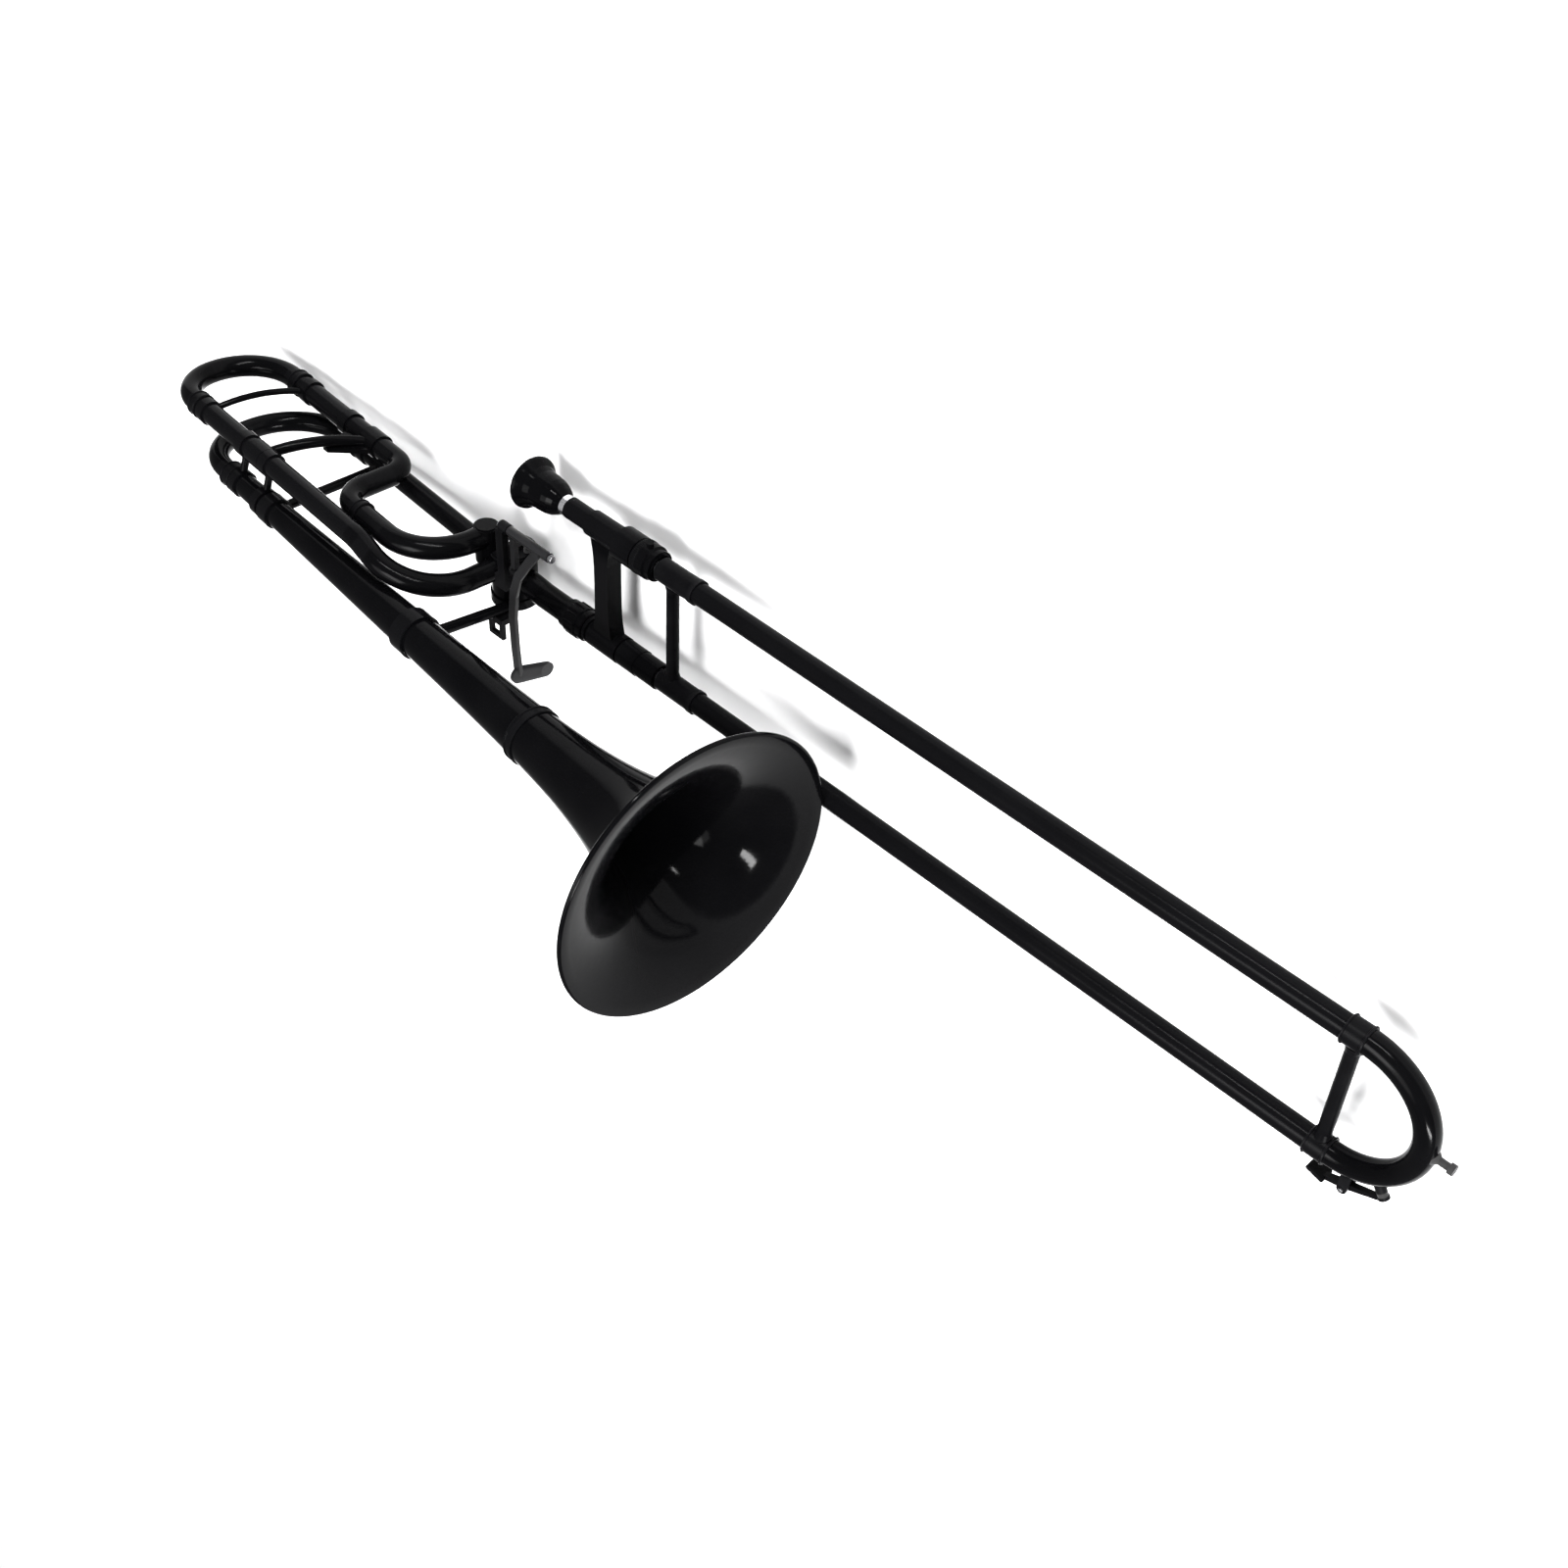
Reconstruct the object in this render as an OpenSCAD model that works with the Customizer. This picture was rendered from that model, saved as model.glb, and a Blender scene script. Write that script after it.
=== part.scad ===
// Tenor trombone with a thumb-operated F attachment, lying on its slide.
// X runs forward to the slide bow, Y to the mouthpiece-side tube, Z up to the bell.

/* [Slide] */
// Distance between the two slide tubes
slide_gap = 96; // [90:1:100]
// Outside diameter of the outer slide tubes
outer_od = 15.7; // [15.6:0.1:16]
// Outside diameter of the inner slide tubes
inner_od = 13.6; // [13.2:0.1:13.7]
// Distance from the hand brace to the centre of the slide bow
slide_len = 551; // [500:1:620]
// Radial clearance of the stockings in the outer tubes
run_fit = 0.06; // [0.03:0.01:0.09]

/* [Bell] */
// Bell diameter over the rim bead
bell_d = 216; // [210:1:217]
// Wall of the bell
bell_wall = 1.7; // [1.4:0.1:2.2]
// Bell centre height over the slide tubes
rim_height = 117.4; // [117:0.1:118]
// Distance from the hand brace forward to the bell rim
rim_x = 151; // [140:1:160]
// Angle at which the bell section leans away from the slide
lean = 3.5; // [3:0.1:4]

/* [Bell section tubes] */
// Distance between the bell axis and the neck leg
leg_gap = 99.5; // [99:0.5:101]
// Outside diameter of the main tubes
main_od = 16.4; // [16.2:0.1:17]
// Outside diameter of the F attachment tubes
f_od = 17.6; // [17:0.1:18]
// Distance from the bell rim back to the tuning-slide joint of the neck leg
neck_joint = 556; // [550:1:560]
// Distance from the bell rim back to the tuning-slide joint of the bell stem
stem_joint = 575; // [570:1:580]
// Distance from the bell rim back to the near joint of the F tuning slide
f_near_joint = 634; // [628:1:640]
// Distance from the bell rim back to the far joint of the F tuning slide
f_far_joint = 614; // [610:1:618]

/* [Valve] */
// Distance from the bell rim back to the valve axis
valve_back = 335; // [333:1:337]
// Outside diameter of the valve casing
casing_d = 35; // [34:0.5:36]
// Height of the valve casing
casing_h = 38; // [37:1:40]

/* [Mouthpiece] */
// Rim diameter of the mouthpiece
mouth_d = 40; // [38:0.5:42]

/* [Hidden] */
$fn = 64;

outer_r = outer_od / 2;
inner_r = inner_od / 2;
outer_bore = 7.25;
stocking_r = outer_bore - run_fit;
inner_bore = 6.1;
main_r = main_od / 2;
main_bore = 7.35;
f_r = f_od / 2;
f_bore = 7.75;
leg_fit = 0.05;
casing_r = casing_d / 2;
casing_rim = 1.2;

// Rear end of the outer slide, and how far the bow reaches
sleeve_back = -10;
sleeve_end = 26;
bow_r = slide_gap / 2;
bow_tube_r = 8;
bow_front = slide_len + bow_r + bow_tube_r;
knob_len = 11;

// F attachment: its legs lie beside the bell plane
f_side = 31;
f_near = 10;
f_gap = 78;
f_wrap_near = 29;

// Where the neck leg's axis meets the slide's axis, measured back from the rim
kink = (rim_height - leg_gap * cos(lean)) / sin(lean);

// Valve axis in the row's own axes
valve_x = rim_x - valve_back * cos(lean) + leg_gap * sin(lean);
valve_z = rim_height - valve_back * sin(lean) - leg_gap * cos(lean);

// Thumb lever hinge, beside the valve
hinge_y = 61;
hinge_z = 19.5;
hinge_back = -151;
hinge_front = -107;
crank_x = -147;

// The rotor turns this far each side of its middle while the lever is pressed
link_half_turn = 40;
lever_press = 14;

// The tuning-slide bows are D-shaped, with a tighter turn on the bell's side
f_near_turn = 30;
f_far_turn = 47;
main_near_turn = 36.5;
main_far_turn = 57;
bow_straight = 3;
main_straight = 8.5;

// The whole object's box gives its origin: bottom centre
rear_back = f_near_joint + bow_straight + f_near_turn;
rear_x = rim_x - (f_near_joint + bow_straight) * cos(lean) + (f_near + f_near_turn) * sin(lean)
    - f_near_turn - f_r;
front_x = bow_front + knob_len;
low_z = rim_height - (neck_joint - 0.9) * sin(lean) - (leg_gap + main_r + 2) * cos(lean);
origin_x = (rear_x + front_x) / 2;
origin_y = (slide_gap + mouth_d / 2 - bell_d / 2) / 2;

black = [0.05, 0.05, 0.055];
dark = [0.09, 0.09, 0.1];
silver = [0.62, 0.63, 0.65];
rubber = [0.02, 0.02, 0.02];

// ---------- placing ----------

// Row origin at the bottom centre of the object's box
module placed() {
    translate([-origin_x, -origin_y, -low_z]) children();
}

// Frame of the bell section: X along the bell, +Z from the neck leg to the bell
module bell_frame() {
    placed() translate([rim_x, 0, rim_height]) rotate([0, -lean, 0]) children();
}

// Lays a piece drawn along Z so that it runs along X
module along_x() {
    rotate([0, 90, 0]) children();
}

module upper_side() {
    translate([0, slide_gap, 0]) children();
}

// ---------- shared shapes ----------

module tube(len, ro, ri) {
    along_x() linear_extrude(len) difference() {
        circle(ro);
        circle(ri);
    }
}

module elbow(bend_r, angle, ro, ri) {
    translate([0, bend_r, 0]) rotate([0, 0, -90])
        rotate_extrude(angle = angle) translate([bend_r, 0]) difference() {
            circle(ro);
            circle(ri);
        }
}

// Solder seam between the straight and the bent pieces of one run
seam = 0.01;
// A bent tube. A step is [length], or [bend radius, angle, roll]
module tube_run(steps, ro, ri, i = 0) {
    if (i < len(steps)) {
        s = steps[i];
        if (len(s) == 1) {
            translate([seam, 0, 0]) tube(s[0] - 2 * seam, ro, ri);
            translate([s[0], 0, 0]) tube_run(steps, ro, ri, i + 1);
        } else {
            rotate([s[2], 0, 0]) {
                elbow(s[0], s[1], ro, ri);
                translate([s[0] * sin(s[1]), s[0] * (1 - cos(s[1])), 0])
                    rotate([0, 0, s[1]]) rotate([-s[2], 0, 0])
                        tube_run(steps, ro, ri, i + 1);
            }
        }
    }
}

// A ring or ferrule with a rounded look: a body and a raised edge at each end
module ferrule(len, r, bore, edge = 1.6) {
    along_x() rotate_extrude() polygon([
        [bore, 0], [r + 0.2, 0], [r + 0.7, 0.5], [r + 0.7, edge - 0.4], [r, edge],
        [r, len - edge], [r + 0.7, len - edge + 0.4], [r + 0.7, len - 0.5], [r + 0.2, len],
        [bore, len]
    ]);
}

module rod_between(a, b, r) {
    v = b - a;
    d = norm(v);
    translate(a) rotate([0, acos(v.z / d), atan2(v.y, v.x)]) cylinder(h = d, r = r);
}

// ---------- bell ----------

// Bore-side growth of the bell: radius at a distance back from the rim
bell_r = bell_d / 2;
horn_c = 17;
bell_belly = 2;
belly_from = 125;
belly_len = 430;
function belly(d) = d > belly_from ? bell_belly * sin(180 * (d - belly_from) / belly_len) : 0;
function horn(d) = bell_r * pow(horn_c / (d + horn_c), 0.7) + belly(d);
throat = 176;
flare_steps = 26;
// Stations crowd towards the rim, where the flare turns fastest
function flare_d(i) = throat * pow(i / flare_steps, 2.2);
bead_r = 1.9;

// Angle between the bell's wall and its axis
function horn_turn(d) = atan((horn(d) - horn(d + 0.5)) / 0.5);

// The wall runs into the rolled bead at the rim, so its stations start a little way in
flare_first = 2;
module bell_flare() {
    ds = [for (i = [0:flare_steps]) flare_d(i)];
    outer = [for (i = [flare_first:flare_steps])
        [horn(ds[i]), -ds[i] - bell_wall * sin(horn_turn(ds[i]))]];
    inner = [for (i = [flare_steps:-1:flare_first])
        [horn(ds[i]) - bell_wall * cos(horn_turn(ds[i])), -ds[i]]];
    bead = [for (a = [90:-15:-90]) [bell_r - bead_r * (1 - cos(a)), bead_r * (sin(a) - 1)]];
    color(black) bell_frame() along_x() rotate_extrude($fn = 128)
        polygon(concat(outer, inner, bead));
}

stem_steps = 12;
stem_d0 = throat + 0.2;
module bell_stem() {
    span = stem_joint - joint_gap - stem_d0;
    ds = [for (i = [0:stem_steps]) stem_d0 + span * i / stem_steps];
    outer = [for (d = ds) [max(horn(d), main_r), -d]];
    inner = [for (i = [stem_steps:-1:0]) [
        ds[i] > stem_joint - 90 ? main_bore : max(horn(ds[i]) - bell_wall, main_bore), -ds[i]]];
    color(black) bell_frame() along_x() rotate_extrude($fn = 96) polygon(concat(outer, inner));
}

module throat_ring() {
    r = horn(throat);
    color(dark) bell_frame() translate([-throat - 4, 0, 0]) ferrule(8, r + 0.9, r + 0.25, 2);
}

ring_len = 11;
joint_gap = 0.4;
module stem_joint_ring() {
    bore = horn(stem_joint - ring_len - joint_gap) + 0.05;
    color(dark) bell_frame() translate([-stem_joint + joint_gap, 0, 0])
        ferrule(ring_len, bore + 1.1, bore);
}

// ---------- neck leg and valve ----------

module neck_leg() {
    color(black) bell_frame() translate([-neck_joint + joint_gap, 0, -leg_gap])
        tube(neck_joint - joint_gap - valve_back - casing_r, main_r, main_bore);
}

module neck_leg_ring() {
    color(dark) bell_frame() translate([-neck_joint + joint_gap, 0, -leg_gap])
        ferrule(ring_len, main_r + 1.3, main_r + 0.01);
}

port_len = 6;
port_reach = casing_r + port_len;
rotor_r = casing_r - 3;
half_h = casing_h / 2;
near_level = 10;
// A knuckle beside the casing leads the far leg down into the valve
knuckle_off = 13.4;
knuckle_r = 9.6;
knuckle_bore = 5.4;
knuckle_port = 12;
// Puts the valve's own axis, drawn along Z, on the row's Y direction
module valve_axis() {
    bell_frame() translate([-valve_back, 0, -leg_gap]) rotate([-90, 0, 0]) children();
}

module valve_casing() {
    color(black) valve_axis() difference() {
        union() {
            cylinder(h = casing_h, r = casing_r, center = true);
            translate([0, 0, half_h - 3]) cylinder(h = 3, r = casing_r + casing_rim);
            translate([0, 0, -half_h]) cylinder(h = 3, r = casing_r + casing_rim);
            along_x() cylinder(h = port_reach, r = main_r + 1.4);
            rotate([0, -90, 0]) cylinder(h = port_reach, r = main_r + 1.4);
            translate([0, 0, near_level]) rotate([90, 0, 0]) cylinder(h = port_reach - 1, r = f_r);
            translate([-knuckle_off, -knuckle_off, near_level]) {
                cylinder(h = f_side - near_level + knuckle_r - 1, r = knuckle_r);
                cylinder(h = f_side - near_level + knuckle_r, r = knuckle_r - 1.5);
            }
            translate([-knuckle_off, -knuckle_off, f_side]) rotate([90, 0, 0])
                cylinder(h = knuckle_port, r = f_r);
        }
        cylinder(h = casing_h + 1, r = rotor_r + 0.06, center = true);
        along_x() cylinder(h = port_reach + 1, r = main_bore);
        rotate([0, -90, 0]) cylinder(h = casing_r, r = main_bore);
        translate([-casing_r, 0, 0]) rotate([0, -90, 0])
            cylinder(h = port_len + 1, r = main_r + 0.01);
        translate([0, 0, near_level]) rotate([90, 0, 0]) cylinder(h = port_reach + 1, r = f_bore);
        translate([-knuckle_off, -knuckle_off, near_level + 2])
            cylinder(h = f_side - near_level, r = knuckle_bore);
        translate([-knuckle_off, -knuckle_off, f_side]) rotate([90, 0, 0])
            cylinder(h = knuckle_port + 1, r = f_bore);
    }
}

cap_len = 6;
module valve_cap_lower() {
    r = casing_r + casing_rim;
    color(dark) valve_axis() translate([0, 0, -half_h - cap_len]) difference() {
        rotate_extrude() polygon([
            [0, 0], [r - 9, 0], [r - 8, 1.2], [r - 4, 1.2], [r - 3, 0], [r - 1.5, 0],
            [r, 1.5], [r, cap_len], [0, cap_len]
        ]);
        for (turn = [0:15:345])
            rotate([0, 0, turn]) translate([r + 0.6, 0, 1.5])
                cylinder(h = cap_len - 2.4, r = 1.1, $fn = 16);
        translate([0, 0, 1.6]) cylinder(h = cap_len, r = 3.2);
    }
}

plate_len = 3;
spindle_r = 3;
module valve_plate() {
    color(dark) valve_axis() translate([0, 0, half_h]) difference() {
        union() {
            cylinder(h = plate_len, r = casing_r - 1.5);
            cylinder(h = plate_len - 1, r = casing_r + 0.2);
        }
        translate([0, 0, -1]) cylinder(h = plate_len + 2, r = spindle_r + 0.06);
        translate([-knuckle_off, -knuckle_off, -1])
            cylinder(h = plate_len + 2, r = knuckle_r + 0.35);
    }
}

// The stop arm's tail swings between these two bumpers
bumper_at = 12.5;
bumper_half = 3;
tail_w = 4;
tail_angle = 90;
bumper_turn = link_half_turn + asin((tail_w / 2 + bumper_half + 0.3) / bumper_at);
module stop_bumpers() {
    color(rubber) valve_axis() for (side = [-1, 1])
        rotate([0, 0, tail_angle + side * bumper_turn]) translate([bumper_at, 0, half_h + plate_len])
            cylinder(h = 4.5, r = bumper_half);
}

// Heights along the valve axis of the stop arm, its cap and the link above them
stop_len = 3.2;
stop_z = half_h + plate_len + 0.6;
spindle_top = stop_z + stop_len + 1;
link_y = spindle_top + 0.3;
link_len_y = 2.6;
crank_arm = hinge_y - link_y - link_len_y / 2;
link_pin_r = crank_arm * sin(lever_press) / (2 * sin(link_half_turn) * cos(lean));
link_rod_r = 1.3;
module rotor() {
    color(silver) valve_axis() difference() {
        union() {
            cylinder(h = casing_h - 1, r = rotor_r, center = true);
            cylinder(h = spindle_top, r = spindle_r);
            translate([0, 0, -half_h - 3]) cylinder(h = half_h, r = spindle_r);
        }
        rotate([0, 90, 0]) cylinder(h = casing_d, r = main_bore, center = true);
        // Side passages that join the attachment's loop when the rotor is turned
        for (side = [-1, 1])
            translate([0, side * rotor_r, 0]) rotate_extrude() translate([4, 0]) circle(2.5);
    }
}

module stop_arm() {
    color(dark) valve_axis() translate([0, 0, stop_z]) difference() {
        union() {
            cylinder(h = stop_len, r = 7.5);
            rotate([0, 0, tail_angle - link_half_turn]) translate([0, -tail_w / 2, 0])
                cube([15.5, tail_w, stop_len]);
            rotate([0, 0, -link_half_turn]) translate([link_pin_r, 0, 0])
                cylinder(h = link_y + link_len_y + 0.6 - stop_z, r = link_rod_r);
        }
        translate([0, 0, -1]) cylinder(h = stop_len + 3, r = spindle_r + 0.01);
    }
}

// ---------- linkage and thumb lever ----------

link_turn = link_half_turn + lean;
link_from = [valve_x + link_pin_r * cos(link_turn), valve_z + link_pin_r * sin(link_turn)];
link_slack = 0.7;
link_to = [crank_x - link_slack, hinge_z];
module lever_link() {
    v = link_to - link_from;
    turn = atan2(-v.y, v.x);
    color(silver) placed() translate([link_from.x, link_y, link_from.y]) rotate([0, turn, 0])
        rotate([-90, 0, 0]) difference() {
            union() {
                cylinder(h = link_len_y, r = 2.9);
                translate([norm(v), 0, 0]) cylinder(h = link_len_y, r = 4.2);
                translate([0, -1.6, 0]) cube([norm(v), 3.2, link_len_y]);
            }
            translate([0, 0, -1]) cylinder(h = link_len_y + 2, r = link_rod_r + 0.06);
            translate([norm(v), 0, -1]) cylinder(h = link_len_y + 2, r = link_rod_r + 1.3);
        }
}

pin_r = 1.7;
boss_len = 9;
module lever_saddle() {
    boss_x = hinge_back - 0.5 - boss_len;
    color(dark) difference() {
        placed() union() {
            translate([boss_x, hinge_y, hinge_z]) along_x() cylinder(h = boss_len, r = 4.2);
            translate([boss_x, 8, hinge_z + 0.8]) cube([boss_len - 1.2, hinge_y - 8, 5.2]);
            translate([boss_x - 4, 8, 5]) cube([boss_len + 2.8, 11, hinge_z + 1]);
        }
        valve_axis() cylinder(h = casing_h + 30, r = casing_r + casing_rim + 0.01, center = true);
        placed() translate([boss_x - 1, hinge_y, hinge_z]) along_x()
            cylinder(h = boss_len + 2, r = pin_r + 0.01);
    }
}

module lever_pin() {
    from = hinge_back - 0.5 - boss_len;
    color(silver) placed() translate([from, hinge_y, hinge_z]) along_x() {
        cylinder(h = hinge_front - from + 1, r = pin_r);
        translate([0, 0, hinge_front - from + 0.5]) cylinder(h = 2.4, r = 3);
        translate([0, 0, -1.6]) cylinder(h = 1.6, r = 3);
    }
}

// The arm's centre line from the hinge to the paddle, as [x, y, z]
arm_line = [
    [-118, 60, 22], [-124, 49, 26], [-131, 36, 29.5], [-136.5, 18, 30], [-138, -4, 31],
    [-137.5, -30, 31], [-137, -56, 30]
];
arm_w = 7;
arm_t = 3.2;
module arm_bead(p) {
    translate(p) along_x() cylinder(h = arm_w, r = arm_t / 2, center = true, $fn = 24);
}

module thumb_lever() {
    crank_end = link_y + link_len_y + 0.6;
    color(silver) placed() difference() {
        union() {
            translate([hinge_back, hinge_y, hinge_z]) along_x()
                cylinder(h = hinge_front - hinge_back, r = 3.6);
            for (i = [0:len(arm_line) - 2]) hull() {
                arm_bead(arm_line[i]);
                arm_bead(arm_line[i + 1]);
            }
            // Finger paddle, a plate with a round end
            hull() {
                translate([-138.5, -58, 30]) along_x() cylinder(h = 3, r = 7, $fn = 32);
                translate([-132, -60, 9]) along_x() cylinder(h = 3, r = 6, $fn = 32);
            }
            // Crank that drives the link, ending in a pin
            translate([crank_x - 2.2, crank_end, hinge_z - 2.2])
                cube([4.4, hinge_y - crank_end, 4.4]);
            translate([crank_x, crank_end + 1, hinge_z]) rotate([90, 0, 0])
                cylinder(h = crank_end + 1.6 - link_y, r = link_rod_r);
        }
        translate([hinge_back - 1, hinge_y, hinge_z]) along_x()
            cylinder(h = hinge_front - hinge_back + 2, r = pin_r + 0.05);
    }
}

module hand_bracket() {
    color(dark) difference() {
        placed() difference() {
            union() {
                translate([-172, -38, 25]) cube([16, 18, 3.4]);
                translate([-172, -25, 14]) cube([16, 5, 12]);
            }
            translate([-168.5, -34.5, 24]) cube([9, 9, 6]);
        }
        valve_axis() cylinder(h = casing_h + 30, r = casing_r + casing_rim + 0.01, center = true);
        bell_frame() front_rod(4.41);
    }
}

// ---------- F attachment ----------

// The near leg dips past the bell stem while it turns into the valve
dip_bend_r = 40;
dip = 17;
near_turn_r = 52;
port_w = leg_gap - port_reach + 1;
dip_drop = f_side - near_level;
dip_run = (dip_drop - dip_bend_r * (1 - cos(dip))) / sin(dip);
near_run = f_near_joint - joint_gap - valve_back - dip_bend_r * sin(dip) - dip_run * cos(dip);
near_steps = [
    [near_run], [dip_bend_r, dip, 180], [dip_run - near_turn_r], [near_turn_r, 90, -90],
    [port_w - f_near - near_turn_r]
];
module f_near_leg() {
    color(black) bell_frame() translate([-f_near_joint + joint_gap, f_side, -f_near])
        tube_run(near_steps, f_r, f_bore);
}

// The far leg turns in over the neck leg, runs forward and curls into the valve's knuckle
f_far = f_near + f_gap;
crook_at = 471;
crook_r1 = 15;
crook_r2 = 20;
crook_run = f_far - f_wrap_near - crook_r1 - crook_r2;
wrap_turn_r = leg_gap - knuckle_off - knuckle_port - f_wrap_near;
far_steps = [
    [f_far_joint - joint_gap - crook_at], [crook_r1, 90, 90], [crook_run], [crook_r2, 90, 270],
    [crook_at - crook_r1 - crook_r2 - valve_back - knuckle_off - wrap_turn_r],
    [wrap_turn_r, 90, -90]
];
module f_far_leg() {
    color(black) bell_frame() translate([-f_far_joint + joint_gap, f_side, -f_far])
        tube_run(far_steps, f_r, f_bore);
}

module f_joint_rings() {
    color(dark) bell_frame() {
        translate([-f_near_joint + joint_gap, f_side, -f_near]) ferrule(9, f_r + 1, f_r + 0.01);
        translate([-f_far_joint + joint_gap, f_side, -f_far]) ferrule(9, f_r + 1, f_r + 0.01);
        translate([-431, f_side, -f_wrap_near]) ferrule(7, f_r + 0.8, f_r + 0.01);
    }
}

// ---------- braces of the bell section ----------

module leg_collar(r, len) {
    translate([-len / 2, 0, 0]) tube(len, r + 1.5, r + 0.01);
}

// A bowed rod between the two F legs, from one distance behind the rim to another
module arch(near_back, far_back, rod_r, sag, collar) {
    span = norm([far_back - near_back, f_gap]) / 2;
    turn = atan2(far_back - near_back, f_gap);
    arc_r = (span * span + sag * sag) / (2 * sag);
    half = asin(span / arc_r);
    translate([0, f_side, -f_near]) difference() {
        translate([-(near_back + far_back) / 2, 0, -f_gap / 2]) rotate([0, turn, 0]) along_x()
            translate([0, sag - arc_r, 0]) rotate([0, 0, 90 - half])
                rotate_extrude(angle = 2 * half) translate([arc_r, 0]) circle(rod_r);
        translate([-near_back - 30, 0, 0]) along_x() cylinder(h = 60, r = f_r + 0.5);
        translate([-far_back - 30, 0, -f_gap]) along_x() cylinder(h = 60, r = f_r + 0.5);
    }
    translate([-near_back, f_side, -f_near]) leg_collar(f_r, collar);
    translate([-far_back, f_side, -f_far]) leg_collar(f_r, collar);
}

module f_arch_brace() {
    color(black) bell_frame() arch(617, 593, 2.6, 7, 8);
}

gusset_near = 538;
gusset_far = 500;
module f_gusset_brace() {
    color(black) bell_frame() {
        arch(gusset_near, gusset_far, 4.4, 7, 18);
        // Flat web that widens the foot on the far leg
        translate([0, f_side, -f_far]) rotate([90, 0, 0]) linear_extrude(4, center = true)
            polygon([
                [-gusset_far - 26, f_r + 0.5], [-gusset_far + 8, f_r + 0.5],
                [-gusset_far - 14, f_r + 26], [-gusset_far - 20, f_r + 26]
            ]);
    }
}

rear_brace_at = 510;
module bell_brace_rear() {
    r = horn(rear_brace_at);
    color(black) bell_frame() translate([-rear_brace_at, 0, 0]) {
        difference() {
            translate([0, 0, -leg_gap]) cylinder(h = leg_gap, r = 4);
            translate([-10, 0, 0]) along_x() cylinder(h = 20, r = r + 0.5);
            translate([-10, 0, -leg_gap]) along_x() cylinder(h = 20, r = main_r + 0.01);
        }
        translate([-6, 0, 0]) tube(12, r + 2.2, r + 0.4);
        translate([0, 0, -leg_gap]) leg_collar(main_r, 14);
    }
}

front_brace_at = 318;
module front_rod(r) {
    rod_between([-front_brace_at, -6, -6], [-valve_back + 13, -19, -leg_gap + 10.5], r);
}

module bell_brace_front() {
    r = horn(front_brace_at);
    color(black) bell_frame() difference() {
        union() {
            front_rod(4.4);
            translate([-front_brace_at - 7, 0, 0]) tube(14, r + 2.2, r + 0.5);
        }
        translate([-front_brace_at - 12, 0, 0]) along_x() cylinder(h = 24, r = r + 0.5);
        translate([-valve_back, 0, -leg_gap]) rotate([90, 0, 0])
            cylinder(h = 80, r = casing_r + casing_rim + 0.01, center = true);
    }
}

// Short posts that hold the F legs off the main tubes
module post_between(back, w0, r0, w1) {
    difference() {
        rod_between([-back, 0, -w0], [-back, f_side, -w1], 3);
        translate([-back - 6, 0, -w0]) along_x() cylinder(h = 12, r = r0);
        translate([-back - 6, f_side, -w1]) along_x() cylinder(h = 12, r = f_r + 0.01);
    }
    translate([-back, f_side, -w1]) leg_collar(f_r, 9);
}

module leg_posts() {
    color(black) bell_frame() {
        for (back = [558, 524]) {
            post_between(back, 0, horn(back) + 0.15, f_near);
            translate([-back - 4, 0, 0]) tube(8, horn(back) + 1.8, horn(back) + 0.15);
        }
        post_between(535, leg_gap, main_r + 0.01, f_far);
        translate([-535, 0, -leg_gap]) leg_collar(main_r, 9);
    }
}

// ---------- tuning slides ----------

// A D-shaped bow: a tight quarter turn on the near side and a wide one on the far side
module d_bow(joint, near, gap, start, near_turn, far_turn, end, side, ro, ri) {
    bell_frame() translate([-joint, side, -near]) rotate([0, 180, 0])
        tube_run([
            [start], [near_turn, 90, 90], [gap - near_turn - far_turn],
            [far_turn, 90, 90], [end]
        ], ro, ri);
}

module slide_leg(joint, side, w, ro, ri) {
    bell_frame() translate([-joint, side, -w]) tube(slide_leg_len, ro, ri);
}

slide_leg_len = 70;
main_leg_bore = 6.5;
main_end = stem_joint + main_straight + main_near_turn - main_far_turn - neck_joint;
module main_slide_bow() {
    color(black) d_bow(stem_joint, 0, leg_gap, main_straight, main_near_turn, main_far_turn,
        main_end, 0, main_r, main_leg_bore);
}

module main_slide_legs() {
    color(silver) {
        slide_leg(stem_joint, 0, 0, main_bore - leg_fit, main_leg_bore);
        slide_leg(neck_joint, 0, leg_gap, main_bore - leg_fit, main_leg_bore);
    }
}

f_leg_bore = 6.9;
f_end = rear_back - f_far_turn - f_far_joint;
module f_slide_bow() {
    color(black) d_bow(f_near_joint, f_near, f_gap, bow_straight, f_near_turn, f_far_turn,
        f_end, f_side, f_r, f_leg_bore);
}

module f_slide_legs() {
    color(silver) {
        slide_leg(f_near_joint, f_side, f_near, f_bore - leg_fit, f_leg_bore);
        slide_leg(f_far_joint, f_side, f_far, f_bore - leg_fit, f_leg_bore);
    }
}

// ---------- neck receiver and lock nut ----------

kink_r = 40;
kink_back = kink_r * tan(lean / 2);
kink_x = rim_x - kink * cos(lean) + leg_gap * sin(lean);
nut_back = -106;
nut_front = -87;
thread_r = 8.7;
receiver_r = 9.7;
module neck_receiver() {
    straight = valve_back - port_reach - kink - kink_back;
    run = nut_back - kink_x - kink_back;
    color(black) {
        bell_frame() translate([-valve_back + port_reach, 0, -leg_gap])
            tube_run([[straight], [kink_r, lean, -90], [run]], receiver_r, main_bore);
        placed() {
            translate([nut_back - 5, 0, 0]) tube(5, receiver_r + 1.6, receiver_r - 0.5);
            translate([nut_back, 0, 0]) tube(14, thread_r, main_bore);
        }
    }
}

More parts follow.
